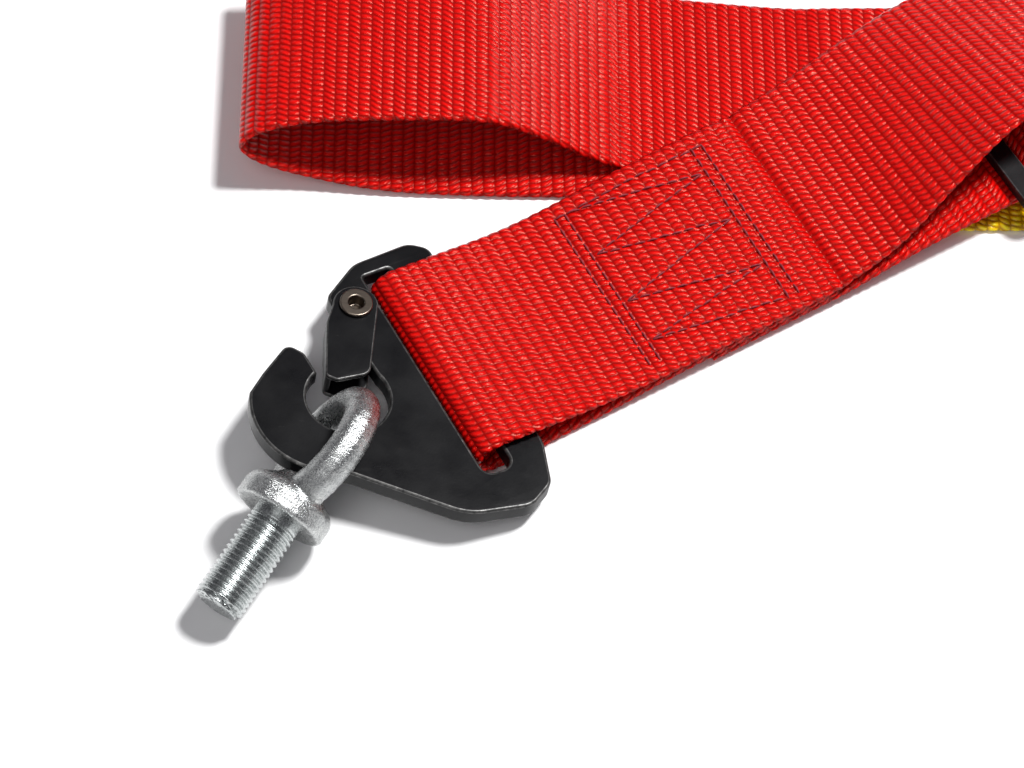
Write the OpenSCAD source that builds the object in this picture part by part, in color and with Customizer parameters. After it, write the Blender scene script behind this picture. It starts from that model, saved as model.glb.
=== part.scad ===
// Bundled racing harness: a sewn lap strap with a snap hook and an eye bolt, a folded
// shoulder strap, a yellow anti-submarine strap, two three-bar slides and a rotary buckle.
// Millimetres, +Z up. The bundle lies on the plane z = 0.

/* [Webbing] */
// Width of every strap
strap_w = 50; // [48:0.5:51]
// Thickness of the woven webbing
strap_t = 1.5; // [1.2:0.1:1.7]
// Plan direction of the lap strap, in degrees from +X
lap_angle = 29; // [28:1:30]
// Height of the open loop at the end of the shoulder strap
loop_h = 21; // [18:1:23]

/* [Snap hook] */
// Thickness of the hook plate
plate_t = 4.5; // [4:0.1:4.8]
// Outer radius of the claw
claw_r = 17.5; // [17:0.1:18]
// Radius of the throat
throat_r = 9; // [8.8:0.1:9.2]
// Tilt of the hook plate, nose up
plate_tilt = 10.5; // [10:0.5:11]
// Sheet thickness of the gate
gate_t = 1.2; // [1:0.1:1.4]
// Radius of the rivet shank that the gate turns on
rivet_r = 2.5; // [2.2:0.1:2.8]

/* [Eye bolt] */
// Major radius of the 7/16 inch thread
thread_r = 5.556; // [5.5:0.001:5.6]
// Length of the threaded shank below the collar
thread_len = 22.7; // [20:0.1:25]
// Radius of the eye's centre line
eye_r = 12; // [11.8:0.1:12.4]
// Radius of the eye's round bar
rod_r = 3.85; // [3.6:0.05:3.9]
// Radius of the collar
collar_r = 10.4; // [10:0.1:10.8]

/* [Slides and buckle] */
// Width of a slide frame across the strap
slide_w = 62; // [60:1:64]
// Radius of a slide's knurled bar
slide_bar_r = 2.5; // [2.3:0.1:2.6]
// Radius of the rotary buckle's housing
buckle_r = 29; // [28:0.5:30]
// Radius of the rotary knob
knob_r = 22; // [20:0.5:24]

/* [Hidden] */

// Smoothness of round parts
fine = 48;
// Moves the bundle so that the origin is the centre of its footprint
shift = [-168.1, -53, 0];
// Slot centres of the two hook plates, before the shift
hook_a_at = [-18, -1, 6.6];
hook_b_at = [334, 64, 6.6];
// Distances along the lap strap, from the first hook's slot
slide_a_s = 150;
tongue_a_s = 191;
buckle_s = 285;
// Places along the shoulder strap
shoulder_y = 73;
slide_b_x = 210;
tongue_b_x = 236;
// Heights shared by the slides, the tongues and the buckle
slide_z = 9.5;
tongue_z = 10.5;
rail_z = 6.95;
over_bar_z = 13.05;
wrap_r = 4.5;
// Slot through a hook plate, and the bar that the sewn loop goes round
slot_w = 8;
slot_l = 56.3;
slot_from = -29.2;
// Pivot of the gate in the plate's own plane
pivot = [-7.8, 20];
gate_gap = 0.3;
// Eye bolt: centre of the eye, plan direction, fall towards the thread, lean of the eye
eye_at = [-39.3, -24, 14.1];
eye_dir = 57;
eye_fall = 9;
eye_lean = 35;
collar_s = 15;
collar_t = 3;

red = [0.78, 0.02, 0.02];
yellow = [0.95, 0.78, 0.02];
black = [0.03, 0.03, 0.035];
zinc = [0.66, 0.68, 0.68];

module placed() {
    translate(shift) children();
}

// ---- webbing -------------------------------------------------------------

function unit(v) = v / norm(v);
function arc(centre, r, from, to, steps) =
    [for (i = [0:steps]) let (a = from + (to - from) * i / steps)
        [centre[0] + r * cos(a), centre[1] + r * sin(a), 0]];

// Smooth path through knots [along, up, tilt, ...]: Catmull-Rom with even steps
function spline(k, steps) =
    [for (i = [0:len(k) - 2], j = [0:steps - 1])
        let (a = k[max(i - 1, 0)], b = k[i], c = k[i + 1], d = k[min(i + 2, len(k) - 1)], t = j / steps)
        0.5 * (2 * b + (c - a) * t + (2 * a - 5 * b + 4 * c - d) * t * t
               + (3 * b - a - 3 * c + d) * t * t * t)];

// A strap: path rows are [along, up, tilt, sideways]; it runs along `angle` from `at`
module ribbon(path, angle, at) {
    n = len(path);
    along = [cos(angle), sin(angle), 0];
    across = [-sin(angle), cos(angle), 0];
    centres = [for (p = path) at + along * p[0] + [0, 0, p[1]] + across * p[3]];
    tangents = [for (i = [0:n - 1])
        unit(along * (path[min(i + 1, n - 1)][0] - path[max(i - 1, 0)][0])
             + [0, 0, path[min(i + 1, n - 1)][1] - path[max(i - 1, 0)][1]])];
    sides = [for (p = path) across * cos(p[2]) + [0, 0, sin(p[2])]];
    points = [for (i = [0:n - 1])
        let (w = sides[i] * strap_w / 2, h = unit(cross(tangents[i], sides[i])) * strap_t / 2)
        each [centres[i] - w - h, centres[i] + w - h, centres[i] + w + h, centres[i] - w + h]];
    faces = concat([[0, 1, 2, 3]],
        [for (i = [0:n - 2], j = [0:3]) let (a = 4 * i + j, b = 4 * i + (j + 1) % 4)
            each [[a, a + 4, b], [b, a + 4, b + 4]]],
        [[4 * n - 1, 4 * n - 2, 4 * n - 3, 4 * n - 4]]);
    polyhedron(points, faces, convexity = 6);
}

function row4(list) = [for (p = list) [p[0], p[1], 0, 0]];

// Under one rail of a slide, over its bar at `at`, and under the other rail
function over_bar(at, dir) = spline([for (k = [[-11, rail_z], [-9, rail_z], [-5.2, 9.8], [-3, over_bar_z - 0.4],
        [0, over_bar_z], [3, over_bar_z - 0.4], [5.2, 9.8], [9, rail_z], [11, rail_z]])
        [at + dir * k[0], k[1], 0, 0]], 4);

// Sewn end, round the hook's bar and back over it: the bend lies in the slot
loop_bottom = 0.95;
loop_top = 9.95;
slot_bend = row4(arc([3.4, (loop_bottom + loop_top) / 2], (loop_top - loop_bottom) / 2, 270, 90, 10));

lap_path = concat(
    spline([[89, 6.0, 3, 0], [80, 5.8, 4, 0], [60, 5.2, 3, 0], [45, 3.6, 1, 0], [30, 1.6, 0, 0],
            [15, loop_bottom, 0, 0], [4.5, loop_bottom, 0, 0]], 4),
    slot_bend,
    spline([[4.5, loop_top, 0, 0], [13, 8.6, 0, 0], [30, 6.0, 0, 0], [45, 5.9, 1, 0], [60, 6.9, 3, 0],
            [80, 7.5, 4, 0], [90, 7.65, 3, 0.2], [105, 10, 0, 1.5], [120, 14.8, -8, 4], [135, 19.5, -15, 6],
            [150, 21.5, -17, 6.5], [165, 20.4, -11, 4.5], [180, 17.6, -3, 1.5], [187, 15.7, 0, 0],
            [tongue_a_s, tongue_z + wrap_r, 0, 0]], 4),
    row4(arc([tongue_a_s, tongue_z], wrap_r, 82, -82, 9)),
    spline([[tongue_a_s, tongue_z - wrap_r, 0, 0], [180, 6.4, 0, 0], [165, rail_z, 0, 0]], 4),
    over_bar(slide_a_s, -1),
    spline([[133, rail_z, 0, 0], [118, 7.0, 1, 0], [104, 6.1, 2, 0], [92, 4.4, 3, 0], [80, 4.1, 3.5, 0],
            [66, 3.6, 3.5, 0], [58, 3.2, 3, 0]], 4),
    [[57, 3.2, 3, 0]]);

shoulder_path = concat(
    spline([[126, 2.75, 0, 0], [100, 2.75, 0, 0], [78, 2.75, 0, 0], [60, 1.0, 0, 0], [30, 1.0, 0, 0],
            [0, 1.0, 0, 0], [-27, 1.6, 0, 1], [-45, 4.2, 0, 3], [-56.2, 8.5, 0, 4], [-60.3, 13, 0, 5],
            [-55.4, 17.6, 0, 6], [-43, 20.2, 0, 7], [-24, loop_h, 0, 7], [-5, loop_h - 1, 0, 7],
            [8, 13, 0, 7], [19, 6.4, 0, 6], [29, 3.2, 0, 5], [46, 2.75, 0, 3], [64, 3.1, 0, 1],
            [78, 4.6, 0, 0], [128, 4.6, 0, 0], [142, 3.2, 0, 0], [168, 3.2, 0, 0],
            [190, rail_z, 0, 0]], 4),
    over_bar(slide_b_x, 1),
    spline([[226, rail_z - 0.3, 0, 0], [tongue_b_x, tongue_z - wrap_r, 0, 0]], 4),
    row4(arc([tongue_b_x, tongue_z], wrap_r, -82, 82, 9)),
    spline([[236, 15, 0, 0], [233, 13.2, 0, 0], [230.5, 10.6, 0, 0], [227.5, 8.5, 0, 0]], 4));

yellow_path = concat(
    spline([[89, 0.95, 0, 0], [45, 0.95, 0, 0], [30, 0.95, 0, 0], [15, loop_bottom, 0, 0],
            [4.5, loop_bottom, 0, 0]], 3),
    slot_bend,
    spline([[4.5, loop_top, 0, 0], [13, 8.6, 0, 0], [26, 4.9, 0, 0], [38, 2.65, 0, 0], [60, 2.65, 0, 0],
            [92, 2.65, 0, 0], [104, 0.95, 0, 0], [150, 0.95, 0, 0], [200, 0.95, 0, 0],
            [255, 0.95, 0, 0]], 3),
    [[257, 0.95, 0, 0]]);

module lap_strap() {
    color(red) placed() ribbon(lap_path, lap_angle, [hook_a_at[0], hook_a_at[1], 0]);
}

module shoulder_strap() {
    color(red) placed() ribbon(shoulder_path, 0, [0, shoulder_y, 0]);
}

module yellow_strap() {
    color(yellow) placed() ribbon(yellow_path, 180, [hook_b_at[0], hook_b_at[1], 0]);
}

// ---- snap hook -----------------------------------------------------------

// The hook's own frame: +X towards its strap, plate level, slot centre at the origin
module hook_frame(which) {
    at = which == "a" ? hook_a_at : hook_b_at;
    turn = which == "a" ? lap_angle : 180;
    placed() translate(at) rotate([0, 0, turn]) rotate([0, plate_tilt, 0]) children();
}

module hook_outline() {
    difference() {
        union() {
            translate([-24, 0]) circle(claw_r, $fn = 96);
            polygon([[-23.7, 18.5], [-32, 14.5], [-24, 0], [-20, 2]]);
            polygon([[-11.2, 25.6], [-11.8, 18], [-11.2, 0], [-24, -4], [-29.5, -16.5], [-12, -35],
                     [-9, -37.2], [3.5, -39.5], [9, -36.2], [13, -28], [15, 27.5], [12.5, 30.8],
                     [4.6, 31.6], [-1.5, 31], [-9.5, 28.2]]);
        }
        translate([-20, 0]) circle(throat_r, $fn = 96);
        polygon([[-22.6, 19.4], [-22.4, 4], [-11.6, 0], [-11.2, 4], [-12.2, 19], [-12.2, 21.4],
                 [-11.4, 27], [-20, 34]]);
        polygon([[-27, 1], [-22.4, 9], [-14, 4], [-14, -2]]);
    }
}

module hook_plate(which) {
    color(black) hook_frame(which) difference() {
        translate([0, 0, -plate_t / 2]) linear_extrude(plate_t) hook_outline();
        translate([-slot_w / 2 + 0.5, slot_from, -plate_t]) cube([slot_w, slot_l, 2 * plate_t]);
        translate([pivot[0], pivot[1], -plate_t]) cylinder(r = rivet_r + 0.05, h = 2 * plate_t, $fn = fine);
        translate([pivot[0], pivot[1], -plate_t / 2 - 1]) cylinder(r = 4.4, h = 3.5, $fn = fine);
    }
}

// Sheet-metal gate: two flanges over the plate, joined by a web on its outer side
module gate_flange() {
    difference() {
        linear_extrude(gate_t) union() {
            translate(pivot) circle(5, $fn = fine);
            polygon([[-12.6, 21.6], [-15.6, 18.6], [-22.2, 6.2], [-20.6, 4.2], [-15.6, 3.2], [-4.6, 16.4],
                     [-3, 21]]);
        }
        translate([pivot[0], pivot[1], -1]) cylinder(r = rivet_r + 0.05, h = 4, $fn = fine);
    }
}

module gate(which) {
    color(black) hook_frame(which) union() {
        translate([0, 0, plate_t / 2 + gate_gap]) gate_flange();
        translate([0, 0, -plate_t / 2 - gate_gap - gate_t]) gate_flange();
        translate([0, 0, -plate_t / 2 - gate_gap - 0.2]) linear_extrude(plate_t + 2 * gate_gap + 0.4)
            polygon([[-15.6, 18.6], [-22.2, 6.2], [-21.2, 5.6], [-14.6, 18.0]]);
    }
}

module gate_rivet(which) {
    half = plate_t / 2 + gate_gap + gate_t;
    color([0.3, 0.26, 0.2]) hook_frame(which) translate([pivot[0], pivot[1], 0]) difference() {
        union() {
            translate([0, 0, -half]) cylinder(r = rivet_r, h = 2 * half, $fn = fine);
            translate([0, 0, half + 0.05]) cylinder(r = 3.65, h = 1, $fn = fine);
            translate([0, 0, half - 0.2]) cylinder(r = rivet_r, h = 0.4, $fn = fine);
            translate([0, 0, -half - 1.05]) cylinder(r = 3.65, h = 1, $fn = fine);
            translate([0, 0, -half - 0.2]) cylinder(r = rivet_r, h = 0.4, $fn = fine);
        }
        translate([0, 0, half - 2]) cylinder(r = 1.7, h = 5, $fn = fine);
    }
}

// Torsion spring round the rivet, inside the plate's pocket
module gate_spring(which) {
    wire = 0.4;
    color(zinc) hook_frame(which) translate([pivot[0], pivot[1], -2.0])
        for (k = [0:2]) translate([0, 0, k * 2.05 * wire])
            rotate_extrude($fn = fine) translate([3.5, 0]) circle(wire, $fn = 16);
}

// ---- eye bolt ------------------------------------------------------------

// Its own frame: thread along -X from the eye's centre, the eye in the XZ plane
module eye_frame(which) {
    base = which == "a" ? [0, 0, 0] : hook_b_at;
    turn = which == "a" ? 0 : 180 - lap_angle;
    from = which == "a" ? [0, 0, 0] : -hook_a_at;
    placed() translate(base) rotate([0, 0, turn]) translate(from)
        translate(eye_at) rotate([0, 0, eye_dir]) rotate([0, -eye_fall, 0]) rotate([eye_lean, 0, 0]) children();
}

module eye_bolt(which) {
    color(zinc) eye_frame(which) union() {
        rotate([90, 0, 0]) rotate_extrude($fn = 96) translate([eye_r, 0]) circle(rod_r, $fn = 32);
        translate([-collar_s, 0, 0]) rotate([0, 90, 0]) cylinder(r1 = 8.2, r2 = 4.6, h = 4.2, $fn = fine);
        translate([-collar_s - collar_t, 0, 0]) rotate([0, 90, 0]) cylinder(r = collar_r, h = collar_t, $fn = fine);
        translate([-collar_s - collar_t - thread_len + 1, 0, 0]) rotate([0, 90, 0])
            cylinder(r = thread_r, h = thread_len - 1 + 0.5, $fn = fine);
        translate([-collar_s - collar_t - thread_len, 0, 0]) rotate([0, 90, 0])
            cylinder(r1 = thread_r - 1, r2 = thread_r, h = 1, $fn = fine);
    }
}

// ---- three-bar slides ------------------------------------------------------

module slide_frame_at(which) {
    placed() if (which == "a") translate([hook_a_at[0], hook_a_at[1], 0]) rotate([0, 0, lap_angle])
        translate([slide_a_s, 0, slide_z]) children();
    else translate([slide_b_x, shoulder_y, slide_z]) children();
}

module slide_frame(which) {
    half = 15;
    color(black) slide_frame_at(which) difference() {
        translate([0, 0, -1.5]) linear_extrude(3) difference() {
            offset(4, $fn = 32) square([2 * half - 8, slide_w - 8], center = true);
            square([20, 52], center = true);
        }
        for (side = [-1, 1]) translate([-2.6, side * 28 - 2.2, -0.9 * slide_bar_r]) cube([5.2, 4.4, 6]);
    }
}

module slide_bar(which) {
    color(black) slide_frame_at(which) rotate([90, 0, 0])
        cylinder(r = slide_bar_r - 1, h = 59, center = true, $fn = fine);
    color(black) slide_frame_at(which) rotate([90, 0, 0])
        cylinder(r = slide_bar_r, h = 51.4, center = true, $fn = fine);
}

// ---- tongues and rotary buckle ---------------------------------------------

module tongue_shape() {
    difference() {
        union() {
            translate([-3, -30]) square([19, 60]);
            polygon([[16, -30], [24, -14], [30, -11], [30, 11], [24, 14], [16, 30]]);
            translate([29, -11]) square([48, 22]);
        }
        translate([3, -26.5]) square([7, 53]);
        translate([72, 0]) circle(4, $fn = fine);
    }
}

module tongue(which) {
    color(zinc) placed() {
        if (which == "a") translate([hook_a_at[0], hook_a_at[1], 0]) rotate([0, 0, lap_angle])
            translate([tongue_a_s, 0, tongue_z - 1.5]) linear_extrude(3) tongue_shape();
        else translate([tongue_b_x, shoulder_y, tongue_z - 1.5]) linear_extrude(3) tongue_shape();
    }
}

module buckle_frame() {
    placed() translate([hook_a_at[0], hook_a_at[1], 0]) rotate([0, 0, lap_angle])
        translate([buckle_s, 0, 0]) children();
}

// The pins stand on a circle about the knob's axis, one for each tongue
pin_ring = 22;
pin_r = 3.5;

module buckle_base() {
    color(black) buckle_frame() difference() {
        cylinder(r = buckle_r, h = 9.0, $fn = 96);
        for (k = [0:3]) rotate([0, 0, 90 * k]) translate([-pin_ring, 0, 5]) cylinder(r = pin_r + 0.3, h = 6, $fn = fine);
        for (k = [0:3]) rotate([0, 0, 45 + 90 * k]) translate([pin_ring + 1, 0, 2]) cylinder(r = 1.6, h = 10, $fn = fine);
    }
    color(black) buckle_frame() for (k = [0:3]) rotate([0, 0, 45 + 90 * k]) difference() {
        translate([pin_ring + 1, 0, 8.8]) cylinder(r = 4, h = 3.6, $fn = fine);
        translate([pin_ring + 1, 0, 2]) cylinder(r = 1.6, h = 12, $fn = fine);
    }
}

module buckle_cover() {
    color(black) buckle_frame() difference() {
        translate([0, 0, 12.6]) cylinder(r = buckle_r, h = 10, $fn = 96);
        translate([0, 0, 12]) cylinder(r = 16, h = 9, $fn = 96);
        translate([0, 0, 20]) cylinder(r = 8.05, h = 6, $fn = fine);
        for (k = [0:3]) rotate([0, 0, 90 * k]) translate([-pin_ring, 0, 11]) cylinder(r = pin_r + 0.3, h = 9.5, $fn = fine);
        for (k = [0:3]) rotate([0, 0, 90 * k]) translate([-pin_ring, -3, 15.8]) cube([pin_ring - 10, 6, 4.7]);
        for (k = [0:3]) rotate([0, 0, 45 + 90 * k]) translate([pin_ring + 1, 0, 0]) {
            translate([0, 0, 12]) cylinder(r = 1.6, h = 12, $fn = fine);
            translate([0, 0, 21.3]) cylinder(r = 2.9, h = 2, $fn = fine);
        }
    }
}

module buckle_knob() {
    color(black) buckle_frame() {
        translate([0, 0, 17.9]) cylinder(r = 8, h = 5.3, $fn = fine);
        translate([0, 0, 23]) linear_extrude(7.5) union() {
            circle(knob_r - 3.5, $fn = 96);
            for (k = [0:2]) rotate(120 * k + 37) translate([0, -4]) square([knob_r, 8]);
        }
    }
}

module buckle_cam() {
    color(zinc) buckle_frame() difference() {
        translate([0, 0, 13.2]) cylinder(r = 11, h = 4.6, $fn = fine);
        translate([0, 0, 12]) cylinder(r = 5, h = 3, $fn = fine);
    }
}

module buckle_spring() {
    color(zinc) buckle_frame() for (k = [0:2]) translate([0, 0, 9.6 + 1.25 * k])
        rotate_extrude($fn = fine) translate([6, 0]) circle(0.6, $fn = 16);
}

module buckle_screws() {
    color(zinc) buckle_frame() for (k = [0:3]) rotate([0, 0, 45 + 90 * k]) translate([pin_ring + 1, 0, 0]) {
        translate([0, 0, 3]) cylinder(r = 1.5, h = 18.6, $fn = fine);
        translate([0, 0, 21.4]) cylinder(r = 2.8, h = 1.1, $fn = fine);
    }
}

module latch_pin(index) {
    color(zinc) buckle_frame() rotate([0, 0, 90 * (index - 1)]) translate([-pin_ring, 0, 0]) {
        translate([0, 0, 8]) cylinder(r = pin_r, h = 7.5, $fn = fine);
    }
}

lap_strap();
shoulder_strap();
yellow_strap();
hook_plate("a");  // hook_plate_a
gate("a");  // gate_a
gate_rivet("a");  // gate_rivet_a
gate_spring("a");  // gate_spring_a
eye_bolt("a");  // eye_bolt_a
hook_plate("b");  // hook_plate_b
gate("b");  // gate_b
gate_rivet("b");  // gate_rivet_b
gate_spring("b");  // gate_spring_b
eye_bolt("b");  // eye_bolt_b
slide_frame("a");  // slide_frame_a
slide_bar("a");  // slide_bar_a
slide_frame("b");  // slide_frame_b
slide_bar("b");  // slide_bar_b
tongue("a");  // tongue_a
tongue("b");  // tongue_b
buckle_base();
buckle_cover();
buckle_knob();
buckle_cam();
buckle_spring();
buckle_screws();
latch_pin(1);  // latch_pin_1
latch_pin(2);  // latch_pin_2
latch_pin(3);  // latch_pin_3
latch_pin(4);  // latch_pin_4
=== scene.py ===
"""Looks of the bundled racing harness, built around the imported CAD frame."""

import math

import bmesh
import bpy
import numpy as np
from mathutils import Matrix, Vector
from mathutils.geometry import tessellate_polygon


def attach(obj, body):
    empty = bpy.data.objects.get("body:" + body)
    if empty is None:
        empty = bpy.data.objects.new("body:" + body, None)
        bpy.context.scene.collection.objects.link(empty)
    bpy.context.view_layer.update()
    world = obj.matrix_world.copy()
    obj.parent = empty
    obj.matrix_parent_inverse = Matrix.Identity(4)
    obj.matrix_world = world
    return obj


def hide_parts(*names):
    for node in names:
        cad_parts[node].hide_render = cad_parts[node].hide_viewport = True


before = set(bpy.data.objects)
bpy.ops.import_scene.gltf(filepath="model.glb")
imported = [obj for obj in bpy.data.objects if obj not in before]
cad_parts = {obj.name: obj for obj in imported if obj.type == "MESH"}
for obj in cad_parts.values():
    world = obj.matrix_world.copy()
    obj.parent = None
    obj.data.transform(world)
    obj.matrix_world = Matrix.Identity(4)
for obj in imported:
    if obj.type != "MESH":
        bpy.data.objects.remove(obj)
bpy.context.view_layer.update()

# ---- the driving dimensions, in millimetres, as the CAD has them -----------------------------------

STRAP_W = 50.0
STRAP_T = 1.5
LAP_ANGLE = 29.0
LOOP_H = 21.0
SHIFT = np.array([-168.1, -53.0, 0.0])
HOOK_A = np.array([-18.0, -1.0, 6.6])
HOOK_B = np.array([334.0, 64.0, 6.6])
PLATE_TILT = 10.5
PLATE_T = 4.5
GATE_GAP = 0.3
GATE_T = 1.2
SLIDE_A_S = 150.0
TONGUE_A_S = 191.0
SHOULDER_Y = 73.0
SLIDE_B_X = 210.0
TONGUE_B_X = 236.0
TONGUE_Z = 10.5
RAIL_Z = 6.95
OVER_BAR_Z = 13.05
WRAP_R = 4.5
LOOP_BOTTOM = 0.95
LOOP_TOP = 9.95
EYE_AT = np.array([-39.3, -24.0, 14.1])
EYE_DIR = 57.0
EYE_FALL = 9.0
EYE_LEAN = 35.0
EYE_R = 12.0
ROD_R = 3.85
COLLAR_S = 15.0
COLLAR_T = 3.0
COLLAR_R = 10.4
THREAD_R = 5.556
THREAD_LEN = 22.7
THREAD_PITCH = 1.27

# The weave: distance between ribs along the strap, and between yarn floats across it
RIB = 2.6
FLOAT = 50.0 / 34
MM = 0.001

rng = np.random.default_rng(7)


# ---- small helpers ---------------------------------------------------------------------------------

def turn(axis, degrees):
    return np.array(Matrix.Rotation(math.radians(degrees), 3, axis))


def new_object(name, verts_mm, faces):
    mesh = bpy.data.meshes.new(name)
    mesh.from_pydata([tuple(v) for v in np.asarray(verts_mm) * MM], [], faces)
    mesh.validate()
    mesh.polygons.foreach_set("use_smooth", [True] * len(mesh.polygons))
    obj = bpy.data.objects.new(name, mesh)
    bpy.context.scene.collection.objects.link(obj)
    return obj


def grid_faces(rows, cols, wrap_cols):
    """Quads over a grid of points, row by row; the columns may close on themselves."""
    r = np.arange(rows - 1)[:, None]
    c = np.arange(cols if wrap_cols else cols - 1)[None, :]
    d = (c + 1) % cols
    quads = np.stack([r * cols + c, r * cols + d, (r + 1) * cols + d, (r + 1) * cols + c], -1)
    return quads.reshape(-1, 4).tolist()


def outward(obj):
    """Turns every face of a closed mesh to look outwards."""
    mesh = bmesh.new()
    mesh.from_mesh(obj.data)
    bmesh.ops.recalc_face_normals(mesh, faces=mesh.faces)
    mesh.to_mesh(obj.data)
    mesh.free()


def bake(obj):
    """Applies the object's modifiers to its mesh."""
    bpy.context.view_layer.update()
    evaluated = obj.evaluated_get(bpy.context.evaluated_depsgraph_get())
    mesh = bpy.data.meshes.new_from_object(evaluated)
    obj.modifiers.clear()
    obj.data = mesh
    return obj


# ---- node helpers ----------------------------------------------------------------------------------

class Shader:
    """A Principled material with short calls for the nodes that feed it."""

    def __init__(self, name, **constants):
        self.mat = bpy.data.materials.new(name)
        self.mat.use_nodes = True
        self.nt = self.mat.node_tree
        self.bsdf = self.nt.nodes["Principled BSDF"]
        for key, value in constants.items():
            self.bsdf.inputs[key.replace("_", " ")].default_value = value

    def put(self, socket, value):
        if isinstance(value, bpy.types.NodeSocket):
            self.nt.links.new(value, socket)
        else:
            socket.default_value = value

    def math(self, op, *values):
        node = self.nt.nodes.new("ShaderNodeMath")
        node.operation = op
        for i, value in enumerate(values):
            self.put(node.inputs[i], value)
        return node.outputs[0]

    def position(self, scale=(1, 1, 1)):
        coord = self.nt.nodes.new("ShaderNodeTexCoord")
        mapping = self.nt.nodes.new("ShaderNodeMapping")
        mapping.inputs["Scale"].default_value = scale
        self.nt.links.new(coord.outputs["Object"], mapping.inputs["Vector"])
        return mapping.outputs["Vector"]

    def noise(self, vector, scale, detail=3.0, rough=0.6):
        node = self.nt.nodes.new("ShaderNodeTexNoise")
        self.put(node.inputs["Vector"], vector)
        node.inputs["Scale"].default_value = scale
        node.inputs["Detail"].default_value = detail
        node.inputs["Roughness"].default_value = rough
        return node.outputs["Fac"]

    def ramp(self, fac, stops):
        node = self.nt.nodes.new("ShaderNodeValToRGB")
        self.put(node.inputs["Fac"], fac)
        while len(node.color_ramp.elements) < len(stops):
            node.color_ramp.elements.new(0.5)
        for element, (place, colour) in zip(node.color_ramp.elements, stops):
            element.position = place
            element.color = (*colour, 1)
        return node.outputs["Color"]

    def grey(self, fac, low, high, start=0.0, end=1.0):
        node = self.nt.nodes.new("ShaderNodeMapRange")
        self.put(node.inputs["Value"], fac)
        for key, value in (("From Min", start), ("From Max", end), ("To Min", low), ("To Max", high)):
            node.inputs[key].default_value = value
        return node.outputs["Result"]

    def bump(self, height, distance, strength):
        node = self.nt.nodes.new("ShaderNodeBump")
        node.inputs["Strength"].default_value = strength
        node.inputs["Distance"].default_value = distance
        self.put(node.inputs["Height"], height)
        return node.outputs["Normal"]

    def into(self, name, value):
        self.put(self.bsdf.inputs[name], value)


def webbing_material(name, dark, mid, light, tint):
    """Woven webbing: ribs across the strap, each a row of slanted yarn floats, coloured with painted shade
    in the grooves.

    It is laid out in the strap's own millimetres, which the mesh carries as the attribute "weave".
    """
    s = Shader(name, Specular_IOR_Level=0.50)
    s.bsdf.inputs["Specular Tint"].default_value = (*tint, 1)
    attribute = s.nt.nodes.new("ShaderNodeAttribute")
    attribute.attribute_name = "weave"
    parts = s.nt.nodes.new("ShaderNodeSeparateXYZ")
    s.nt.links.new(attribute.outputs["Vector"], parts.inputs[0])
    across, along = parts.outputs["X"], parts.outputs["Y"]
    place = s.math("DIVIDE", along, RIB)
    in_rib = s.math("FRACT", place)
    row = s.math("FLOOR", place)
    odd = s.math("FLOORED_MODULO", row, 2.0)
    slant = s.math("MULTIPLY_ADD", odd, 0.55, 0.35)
    lean = s.math("MULTIPLY", s.math("SUBTRACT", in_rib, 0.5), slant)
    wander = s.noise(attribute.outputs["Vector"], 0.9, 2.0)
    u = s.math("ADD", s.math("DIVIDE", across, FLOAT), lean)
    u = s.math("ADD", u, s.math("MULTIPLY", s.math("SUBTRACT", wander, 0.5), 0.35))
    u = s.math("ADD", u, s.math("MULTIPLY", odd, 0.5))
    wave = s.math("MULTIPLY_ADD", s.math("COSINE", s.math("MULTIPLY", u, 2 * math.pi)), 0.5, 0.5)
    rib = s.math("SINE", s.math("MULTIPLY", in_rib, math.pi))
    yarn = s.math("MULTIPLY", s.math("POWER", rib, 0.8), s.math("POWER", wave, 0.7))
    fibre = s.noise(attribute.outputs["Vector"], 9.0, 2.0)
    height = s.math("MULTIPLY_ADD", fibre, 0.08, yarn)
    # Painted shade: the colour follows the weave's height, darkest in the grooves and lightest on the raised
    # yarn
    shade = s.ramp(height, [(0.0, dark), (0.42, mid), (1.0, light)])
    s.into("Base Color", shade)
    s.into("Roughness", s.grey(fibre, 0.22, 0.34))
    s.into("Normal", s.bump(height, 0.00034, 0.9))
    return s.mat


def black_metal(name, colour, rough, scratch):
    """Satin black finish with a fine grain and handling scratches."""
    s = Shader(name, Metallic=0.0, Specular_IOR_Level=0.18)
    grain = s.noise(s.position(), 2600, 3.0)
    cloud = s.noise(s.position(), 90, 4.0)
    streak = s.noise(s.position((60, 900, 300)), 1.2, 5.0, 0.7)
    mark = s.grey(streak, 0.0, 1.0, 0.70, 0.78)
    bare = (0.16, 0.155, 0.15)
    s.into("Base Color", s.ramp(s.math("MULTIPLY", mark, scratch), [(0.0, colour), (1.0, bare)]))
    smear = s.grey(cloud, rough - 0.07, rough + 0.08, 0.3, 0.7)
    s.into("Roughness", s.math("ADD", smear, s.math("MULTIPLY", grain, 0.06)))
    height = s.math("ADD", grain, s.math("MULTIPLY", mark, -0.5))
    s.into("Normal", s.bump(height, 0.00004, 0.5))
    return s.mat


def worn_edge(name):
    """The rim of a black part, rubbed to bare metal in patches."""
    s = Shader(name, Metallic=0.7)
    wear = s.noise(s.position(), 700, 4.0)
    stops = [(0.3, (0.02, 0.02, 0.021)), (0.62, (0.11, 0.108, 0.105)), (0.8, (0.34, 0.33, 0.32))]
    s.into("Base Color", s.ramp(wear, stops))
    s.into("Roughness", s.grey(wear, 0.5, 0.3))
    return s.mat


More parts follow.
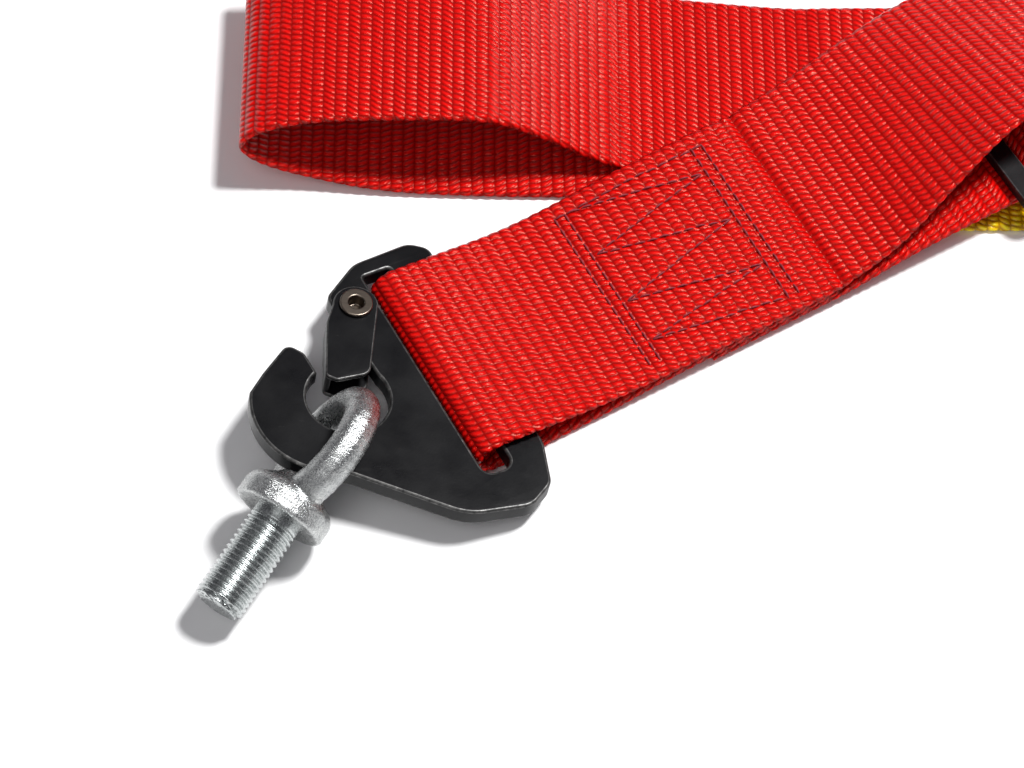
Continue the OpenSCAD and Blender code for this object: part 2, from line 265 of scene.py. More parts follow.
def zinc_material(name, relief, low, high):
    """Zinc plate over a forged surface: a fine hammered speckle, with brighter and duller grains."""
    s = Shader(name, Metallic=1.0)
    speck = s.noise(s.position(), 2300, 4.0, 0.75)
    patch = s.noise(s.position(), 260, 3.0)
    tone = s.math("MULTIPLY_ADD", patch, 0.3, s.math("MULTIPLY", speck, 0.7))
    between = tuple((a + b) / 2 for a, b in zip(low, high))
    s.into("Base Color", s.ramp(tone, [(0.36, low), (0.5, between), (0.62, high)]))
    s.into("Roughness", s.grey(speck, 0.17, 0.36, 0.3, 0.7))
    s.into("Normal", s.bump(speck, relief, 0.75))
    return s.mat


def steel_material(name, colour, rough):
    """Plated steel with the lengthwise brushing of its strip stock and soft handling smudges."""
    s = Shader(name, Metallic=1.0)
    brush = s.noise(s.position((1, 14, 1)), 260, 4.0)
    smudge = s.noise(s.position(), 70, 3.0)
    brush = s.math("MULTIPLY_ADD", smudge, 0.45, s.math("MULTIPLY", brush, 0.55))
    s.into("Base Color", s.ramp(brush, [(0.3, tuple(c * 0.75 for c in colour)), (0.7, colour)]))
    s.into("Roughness", s.grey(brush, rough - 0.08, rough + 0.08))
    s.into("Normal", s.bump(brush, 0.00003, 0.5))
    return s.mat


def thread_material(name, dark, light):
    """Sewing thread: a fine twist of lighter and darker yarn."""
    s = Shader(name, Sheen_Weight=0.2)
    twist = s.noise(s.position(), 4200, 2.0)
    s.into("Base Color", s.ramp(twist, [(0.3, dark), (0.7, light)]))
    s.into("Roughness", s.grey(twist, 0.5, 0.7))
    s.into("Normal", s.bump(twist, 0.0001, 0.7))
    return s.mat


# The webbing colours run with the weave's height: painted shade in the grooves, the webbing's own colour,
# then the lighter raised yarn
red = webbing_material(
    "red_webbing", (0.22, 0.0002, 0.0002), (0.52, 0.0007, 0.0005), (0.72, 0.004, 0.003), (1.0, 0.42, 0.32))
yellow = webbing_material(
    "yellow_webbing", (0.30, 0.13, 0.0), (0.82, 0.52, 0.002), (0.98, 0.80, 0.02), (1.0, 0.92, 0.6))
plate_black = black_metal("plate_black", (0.0035, 0.0035, 0.0042), 0.30, 1.0)
alloy_black = black_metal("alloy_black", (0.014, 0.014, 0.016), 0.34, 0.6)
edge_wear = worn_edge("edge_wear")
rivet_metal = steel_material("rivet_metal", (0.20, 0.165, 0.135), 0.30)
latch_steel = steel_material("latch_steel", (0.72, 0.72, 0.71), 0.36)
zinc_forged = zinc_material("zinc_forged", 0.00019, (0.24, 0.25, 0.255), (0.66, 0.67, 0.66))
zinc_thread = zinc_material("zinc_thread", 0.00004, (0.30, 0.32, 0.32), (0.62, 0.645, 0.64))
maroon_thread = thread_material("maroon_thread", (0.13, 0.001, 0.008), (0.32, 0.006, 0.02))


# ---- webbing ---------------------------------------------------------------------------------------

def arc(centre, r, start, end, steps):
    """Path points along part of a circle, as rows of [along, up, tilt, sideways]."""
    a = np.radians(np.linspace(start, end, steps + 1))
    return np.stack([centre[0] + r * np.cos(a), centre[1] + r * np.sin(a), 0 * a, 0 * a], 1)


def spline(knots, steps):
    """Catmull-Rom through knots [along, up, tilt, sideways], with even steps and without the last knot."""
    k = np.asarray(knots, float)
    rows = []
    for i in range(len(k) - 1):
        a, b, c, d = k[max(i - 1, 0)], k[i], k[i + 1], k[min(i + 2, len(k) - 1)]
        for j in range(steps):
            t = j / steps
            rows.append(0.5 * (2 * b + (c - a) * t + (2 * a - 5 * b + 4 * c - d) * t ** 2
                               + (3 * b - a - 3 * c + d) * t ** 3))
    return np.array(rows)


def flat(pairs):
    """Knots without tilt or sideways shift."""
    return [[a, b, 0, 0] for a, b in pairs]


def over_bar(at, way):
    """The strap's climb over a slide's bar, run forwards (1) or backwards (-1)."""
    shape = [(-11, RAIL_Z), (-9, RAIL_Z), (-5.2, 9.8), (-3, OVER_BAR_Z - 0.4), (0, OVER_BAR_Z),
             (3, OVER_BAR_Z - 0.4), (5.2, 9.8), (9, RAIL_Z), (11, RAIL_Z)]
    return spline(flat([(at + way * a, b) for a, b in shape]), 4)


SLOT_BEND = arc((3.4, (LOOP_BOTTOM + LOOP_TOP) / 2), (LOOP_TOP - LOOP_BOTTOM) / 2, 270, 90, 10)

LAP_PATH = np.concatenate([
    spline([[89, 6.0, 3, 0], [80, 5.8, 4, 0], [60, 5.2, 3, 0], [45, 3.6, 1, 0], [30, 1.6, 0, 0],
            [15, LOOP_BOTTOM, 0, 0], [4.5, LOOP_BOTTOM, 0, 0]], 4),
    SLOT_BEND,
    spline([[4.5, LOOP_TOP, 0, 0], [13, 8.6, 0, 0], [30, 6.0, 0, 0], [45, 5.9, 1, 0], [60, 6.9, 3, 0],
            [80, 7.5, 4, 0], [90, 7.65, 3, 0.2], [105, 10, 0, 1.5], [120, 14.8, -8, 4], [135, 19.5, -15, 6],
            [150, 21.5, -17, 6.5], [165, 20.4, -11, 4.5], [180, 17.6, -3, 1.5], [187, 15.7, 0, 0],
            [TONGUE_A_S, TONGUE_Z + WRAP_R, 0, 0]], 4),
    arc((TONGUE_A_S, TONGUE_Z), WRAP_R, 82, -82, 9),
    spline([[TONGUE_A_S, TONGUE_Z - WRAP_R, 0, 0], [180, 6.4, 0, 0], [165, RAIL_Z, 0, 0]], 4),
    over_bar(SLIDE_A_S, -1),
    spline([[133, RAIL_Z, 0, 0], [118, 7.0, 1, 0], [104, 6.1, 2, 0], [92, 4.4, 3, 0], [80, 4.1, 3.5, 0],
            [66, 3.6, 3.5, 0], [58, 3.2, 3, 0]], 4),
    [[57, 3.2, 3, 0]]])

SHOULDER_PATH = np.concatenate([
    spline([[126, 2.75, 0, 0], [100, 2.75, 0, 0], [78, 2.75, 0, 0], [60, 1.0, 0, 0], [30, 1.0, 0, 0],
            [0, 1.0, 0, 0], [-27, 1.6, 0, 1], [-45, 4.2, 0, 3], [-56.2, 8.5, 0, 4], [-60.3, 13, 0, 5],
            [-55.4, 17.6, 0, 6], [-43, 20.2, 0, 7], [-24, LOOP_H, 0, 7], [-5, LOOP_H - 1, 0, 7],
            [8, 13, 0, 7], [19, 6.4, 0, 6], [29, 3.2, 0, 5], [46, 2.75, 0, 3], [64, 3.1, 0, 1],
            [78, 4.6, 0, 0], [128, 4.6, 0, 0], [142, 3.2, 0, 0], [168, 3.2, 0, 0], [190, RAIL_Z, 0, 0]], 4),
    over_bar(SLIDE_B_X, 1),
    spline([[226, RAIL_Z - 0.3, 0, 0], [TONGUE_B_X, TONGUE_Z - WRAP_R, 0, 0]], 4),
    arc((TONGUE_B_X, TONGUE_Z), WRAP_R, -82, 82, 9),
    spline(flat([(236, 15), (233, 13.2), (230.5, 10.6), (227.5, 8.5)]), 4)])

YELLOW_PATH = np.concatenate([
    spline(flat([(89, 0.95), (45, 0.95), (30, 0.95), (15, LOOP_BOTTOM), (4.5, LOOP_BOTTOM)]), 3),
    SLOT_BEND,
    spline(flat([(4.5, LOOP_TOP), (13, 8.6), (26, 4.9), (38, 2.65), (60, 2.65), (92, 2.65), (104, 0.95),
                 (150, 0.95), (200, 0.95), (255, 0.95)]), 3),
    [[257, 0.95, 0, 0]]])


# Spacing of a path's even samples in mm, and how many of them the smoothing reaches to each side
SAMPLE = 0.05
BLUR = 15
UP = np.array([0, 0, 1])


class Strap:
    """A strap's centre line, resampled evenly, and the point on its surface at (along, across)."""

    def __init__(self, path, angle, at):
        a = math.radians(angle)
        self.ahead = np.array([math.cos(a), math.sin(a), 0])
        self.side = np.array([-math.sin(a), math.cos(a), 0])
        step = np.linalg.norm(np.diff(path[:, :2], axis=0), axis=1)
        keep = np.concatenate([[True], step > 1e-6])
        path = path[keep]
        s = np.concatenate([[0], np.cumsum(np.linalg.norm(np.diff(path[:, :2], axis=0), axis=1))])
        self.length = s[-1]
        self.s = np.arange(0, self.length, SAMPLE)
        rows = np.stack([np.interp(self.s, s, path[:, i]) for i in range(4)], 1)
        kernel = np.hanning(2 * BLUR + 1)
        kernel /= kernel.sum()
        pad = np.pad(rows, ((BLUR, BLUR), (0, 0)), mode="reflect", reflect_type="odd")
        rows = np.stack([np.convolve(pad[:, i], kernel, "valid") for i in range(4)], 1)
        self.rows = rows
        self.at = np.array([at[0], at[1], 0]) + SHIFT
        slope = np.gradient(rows[:, :2], self.s, axis=0)
        self.slope = slope / np.linalg.norm(slope, axis=1)[:, None]

    def frame(self, s):
        """Centre, across and normal of the strap at distances s along it."""
        row = np.stack([np.interp(s, self.s, self.rows[:, i]) for i in range(4)], -1)
        t2 = np.stack([np.interp(s, self.s, self.slope[:, i]) for i in range(2)], -1)
        centre = self.at + self.ahead * row[..., :1] + UP * row[..., 1:2] + self.side * row[..., 3:4]
        tilt = np.radians(row[..., 2:3])
        across = self.side * np.cos(tilt) + UP * np.sin(tilt)
        tangent = self.ahead * t2[..., :1] + UP * t2[..., 1:2]
        normal = np.cross(tangent, across)
        normal /= np.linalg.norm(normal, axis=-1, keepdims=True)
        return centre, across, normal


COLUMNS = 64
ROW_STEP = RIB / 5

# Share of the half width where the selvedge starts to round off, and the heights of the weave in mm
SELVEDGE = 0.955
GROOVE = 0.14
RIB_RISE = 0.16
FLOAT_RISE = 0.035
SCALLOP = 0.22


def strap_object(name, strap, material, dents=None):
    """The woven strap as one closed mesh: ribs on both faces, scalloped selvedges, cut and sealed ends."""
    rows = int(strap.length / ROW_STEP)
    s = np.linspace(0.0, strap.length, rows + 1)
    centre, across, normal = strap.frame(s)
    u = np.linspace(-1, 1, COLUMNS + 1)
    edge = np.sqrt(np.clip(1 - np.clip((np.abs(u) - SELVEDGE) / (1 - SELVEDGE), 0, 1) ** 2, 0, 1))
    half = STRAP_W / 2 - 0.15 + SCALLOP * np.abs(np.sin(np.pi * s / RIB))[:, None]
    rib = np.abs(np.sin(np.pi * s / RIB))[:, None] ** 0.7
    fray = 1 - 0.25 * np.exp(-np.minimum(s, strap.length - s) / 1.2)[:, None]
    # The yarn floats stand alternately high and low across each rib
    float_wave = np.cos(2 * np.pi * (u * STRAP_W / 2 / FLOAT + 0.5 * (np.floor(s / RIB) % 2)[:, None]))
    faces_out = []
    for sign in (1, -1):
        lift = (STRAP_T / 2 - GROOVE + RIB_RISE * rib) * edge * fray
        lift = lift + FLOAT_RISE * float_wave * rib * edge
        if dents is not None and sign == 1:
            lift = lift - dents(s[:, None], u[None, :] * STRAP_W / 2)
        faces_out.append(centre[:, None] + across[:, None] * (u * half)[..., None]
                         + normal[:, None] * (sign * lift)[..., None])
    top, under = faces_out
    ring = np.concatenate([top, under[:, ::-1][:, 1:-1]], 1)
    cols = ring.shape[1]
    verts = ring.reshape(-1, 3)
    faces = grid_faces(rows + 1, cols, True)
    for row, flip in ((0, False), (rows, True)):
        base = row * cols
        for c in range(COLUMNS):
            quad = [base + c, base + c + 1, base + (cols - c - 1) % cols, base + (cols - c) % cols]
            quad = list(dict.fromkeys(quad))
            if len(quad) > 2:
                faces.append(quad[::-1] if flip else quad)
    obj = new_object(name, verts, faces)
    weave_u = np.concatenate([u, u[::-1][1:-1] + 0.013]) * STRAP_W / 2
    size = (rows + 1, cols)
    weave = np.stack([np.broadcast_to(weave_u, size), np.broadcast_to(s[:, None], size), np.zeros(size)], -1)
    attribute = obj.data.attributes.new("weave", "FLOAT_VECTOR", "POINT")
    attribute.data.foreach_set("vector", weave.reshape(-1).astype(np.float32))
    obj.data.materials.append(material)
    outward(obj)
    return obj


lap = Strap(LAP_PATH, LAP_ANGLE, HOOK_A)
shoulder = Strap(SHOULDER_PATH, 0, (0, SHOULDER_Y))
lowest = Strap(YELLOW_PATH, 180, HOOK_B)


def top_run(strap, along):
    """Distance along the strap of the first point past the slot's bend that lies at `along`."""
    start = np.argmin(strap.rows[:, 0])
    after = np.flatnonzero(strap.rows[start:, 0] >= along)[0]
    return strap.s[start + after]


# ---- box stitching on the lap strap -----------------------------------------------------------------

BOX_START = 43.0
BOX_END = 78.0
BOX_HALF = 21.5
ROW_GAP = 2.6

# Where the sewn tail ends under the top layer, and the depths of its step and of a seam
TAIL_END = 89.5
TAIL_STEP = 0.85
SEAM_DEPTH = 0.34


def stitch_lines():
    """Straight seams of the box, as ((along, across), (along, across)) in the lap strap's own frame."""
    lines = []
    for along in (BOX_START, BOX_END):
        for gap in (0, ROW_GAP):
            lines.append(((along + gap, -BOX_HALF), (along + gap, BOX_HALF)))
    far, near = BOX_HALF - 0.5, -BOX_HALF + 0.5
    lines.append(((BOX_START, far), (BOX_END + ROW_GAP, far)))
    lanes = [far, 14.5, 8.5, 1.5, -5.0, -11.5, -16.0, near]
    ends = (BOX_START + ROW_GAP + 1, BOX_END - 1)
    for k in range(len(lanes) - 1):
        lines.append(((ends[k % 2], lanes[k]), (ends[1 - k % 2], lanes[k + 1])))
    return lines


STITCHES = stitch_lines()


def seam_dents(s, u):
    """How far the seams, and the step at the sewn tail's end, pull the webbing down."""
    along = np.interp(s, lap.s, lap.rows[:, 0]) + 0 * u
    depth = np.zeros(np.broadcast(s, u).shape)
    across = u + 0 * s
    for (a0, c0), (a1, c1) in STITCHES:
        d = np.array([a1 - a0, c1 - c0])
        t = np.clip(((along - a0) * d[0] + (across - c0) * d[1]) / (d @ d), 0, 1)
        r2 = (along - a0 - t * d[0]) ** 2 + (across - c0 - t * d[1]) ** 2
        depth = np.maximum(depth, SEAM_DEPTH * np.exp(-r2 / 0.55))
    step = TAIL_STEP * np.exp(-((along - TAIL_END - 0.8) / 1.1) ** 2)
    on_top = (s > top_run(lap, 6.0)) & (s < top_run(lap, 130.0))
    return np.where(on_top, np.maximum(depth, step), 0.0)


# A stitch: its pitch, the share of it that shows, and the thread's radius
STITCH_PITCH = 2.9
STITCH_SHARE = 0.86
THREAD_THICK = 0.21


def seams(strap, lines, material, name):
    """Every stitch is a short arched length of thread that dives into the weave at both ends."""
    start = top_run(strap, 30.0)
    window = (strap.s > start) & (strap.s < start + 70)
    verts, faces = [], []
    sides, rings = 6, 6
    for (a0, c0), (a1, c1) in lines:
        length = math.hypot(a1 - a0, c1 - c0)
        count = max(1, round(length / STITCH_PITCH))
        for k in range(count):
            t = (k + 0.5 + np.linspace(-STITCH_SHARE / 2, STITCH_SHARE / 2, rings)) / count
            wobble = rng.normal(0, 0.10)
            a = a0 + (a1 - a0) * t
            c = c0 + (c1 - c0) * t + wobble
            centre, across, normal = strap.frame(np.interp(a, strap.rows[window, 0], strap.s[window]))
            arch = 0.42 * np.sin(np.pi * np.linspace(0, 1, rings)) - 0.20
            line = centre + across * c[:, None] + normal * (STRAP_T / 2 + arch - 0.10)[:, None]
            tangent = np.gradient(line, axis=0)
            tangent /= np.linalg.norm(tangent, axis=1)[:, None]
            side = np.cross(tangent, normal)
            base = len(verts)
            for i in range(rings):
                fat = THREAD_THICK * (0.55 if i in (0, rings - 1) else 1.0)
                for q in range(sides):
                    angle = 2 * math.pi * q / sides
                    verts.append(line[i] + fat * (side[i] * math.cos(angle) + normal[i] * math.sin(angle)))
            faces += (np.array(grid_faces(rings, sides, True)) + base).tolist()
            faces.append([base + q for q in range(sides)][::-1])
            faces.append([base + (rings - 1) * sides + q for q in range(sides)])
    obj = new_object(name, verts, faces)
    obj.data.materials.append(material)
    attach(obj, "webbing")


def make_strap(name, strap, material, dents=None):
    obj = strap_object(name + "_webbing", strap, material, dents)
    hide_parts(name)
    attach(obj, "webbing")


make_strap("lap_strap", lap, red, seam_dents)
make_strap("shoulder_strap", shoulder, red)
make_strap("yellow_strap", lowest, yellow)
seams(lap, STITCHES, maroon_thread, "lap_strap_stitching")
BAND = [((62.0 + gap, -21.5), (62.0 + gap, 21.5)) for gap in (0, 4, 8)]
seams(lowest, BAND, maroon_thread, "yellow_strap_stitching")


# ---- hard parts: bevelled copies of the CAD solids, and plate parts cut from outlines ---------------

def stand_in(obj, node, body):
    """Bakes a finished hard part with flat-looking faces and puts it in its CAD node's place."""
    shade = obj.modifiers.new("shade", "WEIGHTED_NORMAL")
    shade.weight = 100
    bake(obj)
    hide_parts(node)
    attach(obj, body)


def machined(node, body, material, bevel, edge_material=None, segments=2):
    """A copy of a CAD node with its flat faces rejoined and its edges broken, as the real part's are."""
    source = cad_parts[node]
    obj = bpy.data.objects.new(node + "_finished", source.data.copy())
    bpy.context.scene.collection.objects.link(obj)
    obj.data.materials.clear()
    obj.data.materials.append(material)
    if edge_material is not None:
        obj.data.materials.append(edge_material)
    if "custom_normal" in obj.data.attributes:
        obj.data.attributes.remove(obj.data.attributes["custom_normal"])
    mesh = bmesh.new()
    mesh.from_mesh(obj.data)
    bmesh.ops.remove_doubles(mesh, verts=mesh.verts, dist=2e-6)
    bmesh.ops.dissolve_limit(mesh, angle_limit=math.radians(1.0), verts=mesh.verts, edges=mesh.edges)
    for face in mesh.faces:
        face.material_index = 0
        face.smooth = True
    mesh.to_mesh(obj.data)
    mesh.free()
    cut = obj.modifiers.new("bevel", "BEVEL")
    cut.width = bevel * MM
    cut.segments = segments
    cut.limit_method = "ANGLE"
    cut.angle_limit = math.radians(35)
    cut.use_clamp_overlap = True
    if edge_material is not None:
        cut.material = 1
    stand_in(obj, node, body)


def filleted(corners):
    """A closed outline from corners (x, y, radius), with each corner rounded to its radius."""
    points = []
    for i, (x, y, radius) in enumerate(corners):
        here = np.array([x, y])
        back = np.array(corners[i - 1][:2]) - here
        ahead = np.array(corners[(i + 1) % len(corners)][:2]) - here
        reach_back, reach_ahead = np.linalg.norm(back), np.linalg.norm(ahead)
        back, ahead = back / reach_back, ahead / reach_ahead
        half = math.acos(max(-1.0, min(1.0, float(back @ ahead)))) / 2
        reach = 0.0 if radius == 0 or half > 1.55 else radius / math.tan(half)
        reach = min(reach, 0.48 * reach_back, 0.48 * reach_ahead)
        if reach < 0.02:
            points.append(here)
            continue
        radius = reach * math.tan(half)
        middle = here + (back + ahead) / np.linalg.norm(back + ahead) * radius / math.sin(half)
        first, last = here + back * reach - middle, here + ahead * reach - middle
        start = math.atan2(first[1], first[0])
        sweep = (math.atan2(last[1], last[0]) - start + math.pi) % (2 * math.pi) - math.pi
        steps = max(3, int(abs(sweep) * radius / 0.45))
        for k in range(steps + 1):
            a = start + sweep * k / steps
            points.append(middle + radius * np.array([math.cos(a), math.sin(a)]))
    return np.array(points)


def round_arc(x, y, radius, start, end):
    """Corners along part of a circle, for an outline."""
    steps = max(4, int(abs(math.radians(end - start)) * radius / 0.7))
    angles = np.radians(np.linspace(start, end, steps + 1))
    return [(x + radius * math.cos(a), y + radius * math.sin(a), 0) for a in angles]


def inset(loop, distance):
    """The outline moved into the metal by a distance; loops run with the metal on the right-hand side."""
    ahead = np.roll(loop, -1, 0) - loop
    ahead /= np.linalg.norm(ahead, axis=1)[:, None]
    right = np.stack([ahead[:, 1], -ahead[:, 0]], 1)
    both = right + np.roll(right, 1, 0)
    both /= np.maximum((both * right).sum(1), 0.5)[:, None]
    return loop + both * distance


def blank(loops, low, high, rim):
    """Verts, faces and rim flags of a flat blank between two heights, with rounded rims.

    The first loop is the outside, and the others are holes.
    """
    verts, faces, worn = [], [], []
    steps = 4
    turns = np.linspace(0, math.pi / 2, steps)
    levels = [(rim * (1 - math.sin(a)), high - rim * (1 - math.cos(a))) for a in turns]
    levels += [(depth, low + high - z) for depth, z in levels[::-1]]
    ends = ([], [])
    for loop in loops:
        count = len(loop)
        base = len(verts)
        for depth, z in levels:
            verts += [(x, y, z) for x, y in inset(loop, depth)]
        for level in range(len(levels) - 1):
            for k in range(count):
                p, q = base + level * count + k, base + level * count + (k + 1) % count
                faces.append([p, q, q + count, p + count])
                worn.append(level != steps - 1)
        ends[0].append(list(range(base, base + count)))
        ends[1].append(list(range(base + (len(levels) - 1) * count, base + len(levels) * count)))
    for number, rings in enumerate(ends):
        flat_order = [i for ring in rings for i in ring]
        polylines = [[Vector((verts[i][0], verts[i][1], 0)) for i in ring] for ring in rings]
        for triangle in tessellate_polygon(polylines):
            faces.append([flat_order[i] for i in triangle])
            worn.append(False)
    return verts, faces, worn


def pressed(node, body, shells, place):
    """A part cut from plate: its blanks as one mesh in the place of the CAD node, with worn rims."""
    verts, faces, worn = [], [], []
    for shell in shells:
        v, f, r = blank(*shell)
        faces += [[i + len(verts) for i in face] for face in f]
        verts += v
        worn += r
    rotation, origin = place
    verts = np.array(verts) @ rotation.T + origin
    obj = new_object(node + "_finished", verts, faces)
    obj.data.materials.append(plate_black)
    obj.data.materials.append(edge_wear)
    obj.data.polygons.foreach_set("material_index", [int(r) for r in worn])
    outward(obj)
    stand_in(obj, node, body)


# Hook plate in its own plane: round the back, the claw, the nose, the mouth and the throat
PLATE = filleted(
    [(-12.2, 19.5, 1.0), (-12.0, 25.4, 2.5), (-2.6, 31.0, 7.0), (11.5, 31.5, 5.0), (15.2, 28.5, 3.0),
     (13.3, -27.0, 9.0), (9.8, -36.6, 4.0), (3.2, -39.9, 5.0), (-10.5, -36.4, 14.0), (-28.4, -17.6, 4.0)]
    + round_arc(-24, 0, 17.5, -112, -213)
    + [(-33.8, 12.9, 8.0), (-25.7, 17.6, 2.0), (-23.3, 14.0, 3.0)]
    + round_arc(-20, 0, 9, 111, 377))
SLOT = filleted([(-2.3, -29.4, 2.6), (4.5, -29.4, 2.6), (4.5, 27.1, 0.8), (-2.3, 27.1, 0.8)])
RIVET_AT = (-7.8, 20)
GATE = filleted(
    [(-12.3, 22.2, 1.5), (-15.8, 18.4, 1.2), (-22.5, 6.1, 1.2), (-20.7, 4.0, 1.0), (-13.4, 2.7, 2.4),
     (-4.0, 17.0, 2.0)]
    + round_arc(*RIVET_AT, 5, -20, 150))
RIVET_HOLE = filleted(round_arc(*RIVET_AT, 2.58, 0, 345))
GATE_WALL = filleted([(-14.6, 18.0, 0.4), (-15.6, 18.8, 0.4), (-22.4, 6.2, 0.5), (-21.2, 5.4, 0.4)])


def clockwise(loop):
    """The loop run clockwise, as the outside of a blank is; a hole runs the other way."""
    area = np.sum(loop[:, 0] * np.roll(loop[:, 1], -1) - np.roll(loop[:, 0], -1) * loop[:, 1])
    return loop if area < 0 else loop[::-1]


for w, angle, at in (("a", LAP_ANGLE, HOOK_A), ("b", 180.0, HOOK_B)):
    place = (turn("Z", angle) @ turn("Y", PLATE_TILT), SHIFT + at)
    slot_hole = clockwise(SLOT)[::-1]
    rivet_hole = clockwise(RIVET_HOLE)[::-1]
    loops = [clockwise(PLATE), slot_hole, rivet_hole]
    pressed("hook_plate_" + w, "hook_" + w, [(loops, -PLATE_T / 2, PLATE_T / 2, 0.6)], place)
    face = PLATE_T / 2 + GATE_GAP
    pressed("gate_" + w, "gate_" + w, [
        ([clockwise(GATE), rivet_hole], face, face + GATE_T, 0.35),
        ([clockwise(GATE), rivet_hole], -face - GATE_T, -face, 0.35),
        ([clockwise(GATE_WALL)], -face - 0.3, face + 0.3, 0.1)], place)
    machined("gate_rivet_" + w, "hook_" + w, rivet_metal, 0.35)
    machined("slide_frame_" + w, "webbing", plate_black, 0.6, edge_wear)
    machined("slide_bar_" + w, "bar_" + w, plate_black, 0.3, edge_wear)
    machined("tongue_" + w, "webbing", latch_steel, 0.4)
machined("buckle_base", "webbing", alloy_black, 0.8, edge_wear)
machined("buckle_cover", "webbing", alloy_black, 1.0, edge_wear, 3)
machined("buckle_knob", "knob", alloy_black, 0.8, edge_wear, 3)
machined("buckle_screws", "webbing", latch_steel, 0.25)
for node in ("buckle_cam", "buckle_spring", "gate_spring_a", "gate_spring_b",
             "latch_pin_1", "latch_pin_2", "latch_pin_3", "latch_pin_4"):
    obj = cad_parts[node]
    for i in range(max(1, len(obj.data.materials))):
        if obj.data.materials:
            obj.data.materials[i] = latch_steel
        else:
            obj.data.materials.append(latch_steel)


# ---- eye bolts ---------------------------------------------------------------------------------------

def lathe(profile, segments):
    """Verts and faces of (x, radius) turned about the X axis, closed at both ends."""
    verts, faces = [], []
    for x, r in profile:
        for k in range(segments):
            a = 2 * math.pi * k / segments
            verts.append((x, r * math.cos(a), r * math.sin(a)))
    faces += grid_faces(len(profile), segments, True)
    faces.append(list(range(segments))[::-1])
    faces.append([(len(profile) - 1) * segments + k for k in range(segments)])
    return np.array(verts), faces


# Fineness of the forging's mesh, and the height of the low lumps left by its dies
FORGING_GRAIN = 0.34
FORGING_LUMP = 0.022


def forged_eye(name):
    """Eye, neck and drum collar as one forging: overlapping solids fused by a fine remesh and smoothed."""
    verts, faces = [], []
    major, minor = 96, 28
    for i in range(major):
        a = 2 * math.pi * i / major
        thick = ROD_R * (1.0 + 0.05 * math.cos(a - math.pi))
        for j in range(minor):
            b = 2 * math.pi * j / minor
            r = EYE_R + thick * math.cos(b)
            verts.append((r * math.cos(a), thick * 1.02 * math.sin(b), r * math.sin(a)))
    for i in range(major):
        for j in range(minor):
            p, q = (i + 1) % major, (j + 1) % minor
            faces.append([i * minor + j, p * minor + j, p * minor + q, i * minor + q])
    base = len(verts)
    top = -COLLAR_S
    drum = [(top - COLLAR_T, COLLAR_R - 0.45), (top - COLLAR_T + 0.4, COLLAR_R), (top + 0.9, COLLAR_R),
            (top + 2.0, COLLAR_R - 0.3), (top + 3.0, COLLAR_R - 1.1), (top + 3.7, 8.2), (top + 4.5, 6.9),
            (top + 5.4, 5.6), (top + 6.6, 4.5)]
    dv, df = lathe(drum, 64)
    verts = np.concatenate([np.array(verts), dv])
    faces += (np.array(df[:-2]) + base).tolist() + [[base + k for k in f] for f in df[-2:]]
    obj = new_object(name, verts, faces)
    fuse = obj.modifiers.new("fuse", "REMESH")
    fuse.mode = "VOXEL"
    fuse.voxel_size = FORGING_GRAIN * MM
    fuse.use_smooth_shade = True
    soften = obj.modifiers.new("soften", "SMOOTH")
    soften.factor = 0.6
    soften.iterations = 6
    bake(obj)
    flat_co = np.zeros(len(obj.data.vertices) * 3)
    obj.data.vertices.foreach_get("co", flat_co)
    co = flat_co.reshape(-1, 3)
    waves = ((0, 2100, 0.3), (1, 2600, 1.1), (2, 1900, 2.0), (0, 3400, 4.0))
    lumps = sum(np.sin(co[:, i] * k + start) for i, k, start in waves)
    normals = np.zeros(len(obj.data.vertices) * 3)
    obj.data.vertices.foreach_get("normal", normals)
    co = co + normals.reshape(-1, 3) * (FORGING_LUMP * MM * lumps)[:, None]
    obj.data.vertices.foreach_set("co", co.reshape(-1))
    obj.data.polygons.foreach_set("use_smooth", [True] * len(obj.data.polygons))
    return obj


# Depth of the thread's groove, which the CAD shank doesn't have
THREAD_DEPTH = 0.72


def threaded_shank(name):
    """The shank with a true helical thread, a run-out at the collar and a rough chamfered end."""
    start, end = -COLLAR_S - COLLAR_T + 0.3, -COLLAR_S - COLLAR_T - THREAD_LEN
    segments, per_pitch = 72, 12
    rows = int((start - end) / THREAD_PITCH * per_pitch)
    xs = np.linspace(end, start, rows + 1)
    angle = 2 * np.pi * np.arange(segments) / segments
    phase = (xs[:, None] / THREAD_PITCH + angle[None, :] / (2 * np.pi)) % 1.0
    tooth = np.clip(1.25 - np.abs(phase - 0.5) * 2.9, 0, 1)
    tip = np.clip((xs - end) / 1.3, 0, 1)[:, None]
    run_out = np.clip((start - 1.6 - xs) / 1.2, 0, 1)[:, None]
    radius = THREAD_R - THREAD_DEPTH * (1 - tooth) * run_out - 0.25 * (1 - run_out) - 0.95 * (1 - tip)
    chewed = rng.normal(0, 0.16, radius.shape)
    chewed = (chewed + np.roll(chewed, 1, 1) + np.roll(chewed, 1, 0)) / 1.7
    radius = radius + chewed * np.clip(1.3 - (xs[:, None] - end) / 2.4, 0, 1) ** 2
    along = np.broadcast_to(xs[:, None], radius.shape)
    verts = np.stack([along, radius * np.cos(angle), radius * np.sin(angle)], -1)
    faces = grid_faces(rows + 1, segments, True)
    faces.append(list(range(segments))[::-1])
    faces.append([rows * segments + k for k in range(segments)])
    return new_object(name, verts.reshape(-1, 3), faces)


def eye_matrix(which):
    """Rotation and place of an eye bolt; the second one stands to its hook as the first does."""
    base = turn("Z", EYE_DIR) @ turn("Y", -EYE_FALL) @ turn("X", EYE_LEAN)
    if which == "a":
        return base, SHIFT + EYE_AT
    spin = turn("Z", 180 - LAP_ANGLE)
    return spin @ base, SHIFT + HOOK_B + spin @ (EYE_AT - HOOK_A)


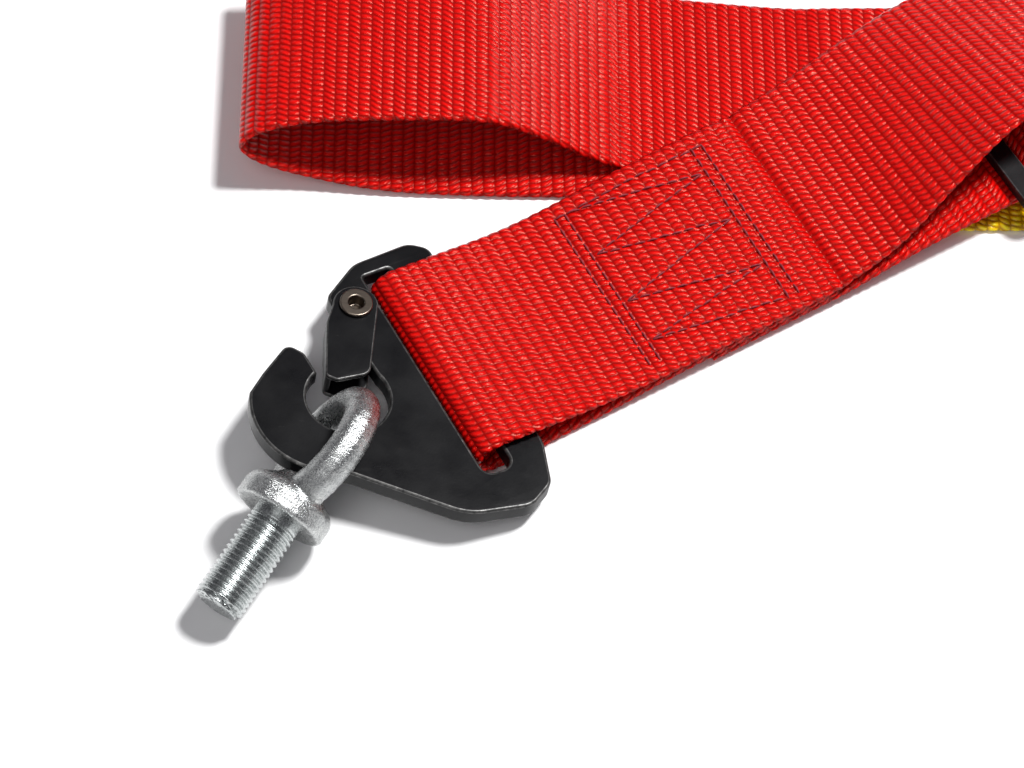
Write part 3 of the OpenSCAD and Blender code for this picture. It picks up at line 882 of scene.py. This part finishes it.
for w in "ab":
    rotation, place = eye_matrix(w)
    whole = Matrix.Translation(Vector(place * MM)) @ Matrix(rotation.tolist()).to_4x4()
    forging = forged_eye("eye_forging_" + w)
    shank = threaded_shank("eye_shank_" + w)
    for piece, material in ((forging, zinc_forged), (shank, zinc_thread)):
        piece.data.materials.clear()
        piece.data.materials.append(material)
        piece.data.transform(whole)
        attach(piece, "eye_" + w)
        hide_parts("eye_bolt_" + w)


# ---- stage, light and camera ---------------------------------------------------------------------------

def stage():
    reach = 3000
    corners = [(-reach, -reach, 0), (reach, -reach, 0), (reach, reach, 0), (-reach, reach, 0)]
    floor = new_object("floor", corners, [[0, 1, 2, 3]])
    s = Shader("floor_white", Roughness=0.85)
    s.bsdf.inputs["Base Color"].default_value = (0.93, 0.93, 0.93, 1)
    floor.data.materials.append(s.mat)


def area_light(name, place, target, size, power):
    light = bpy.data.lights.new(name, "AREA")
    light.shape = "DISK"
    light.size = size
    light.energy = power
    obj = bpy.data.objects.new(name, light)
    bpy.context.scene.collection.objects.link(obj)
    obj.location = place
    obj.rotation_euler = (Vector(target) - Vector(place)).to_track_quat("-Z", "Y").to_euler()


stage()
centre = Vector(SHIFT * MM)
area_light("key", centre + Vector((0.60, 0.30, 1.32)), centre, size=0.28, power=29)
area_light("fill", centre + Vector((-0.35, -0.75, 1.35)), centre, size=1.1, power=5)
world = bpy.data.worlds.new("studio")
bpy.context.scene.world = world
world.use_nodes = True
background = world.node_tree.nodes["Background"]
background.inputs["Color"].default_value = (0.95, 0.93, 1.0, 1)
background.inputs["Strength"].default_value = 0.17
bpy.context.scene.view_settings.view_transform = "Standard"

# Camera: degrees above the table, metres from the hook, and focal length in millimetres
ELEVATION = 60.0
DISTANCE = 0.70
LENS = 113.0
camera_data = bpy.data.cameras.new("camera")
camera_data.lens = LENS
camera_data.clip_start = 0.01
camera = bpy.data.objects.new("camera", camera_data)
bpy.context.scene.collection.objects.link(camera)
away = Vector((0, -math.cos(math.radians(ELEVATION)), math.sin(math.radians(ELEVATION))))
camera.location = centre + away * DISTANCE
camera.rotation_euler = (-away).to_track_quat("-Z", "Y").to_euler()
bpy.context.scene.camera = camera
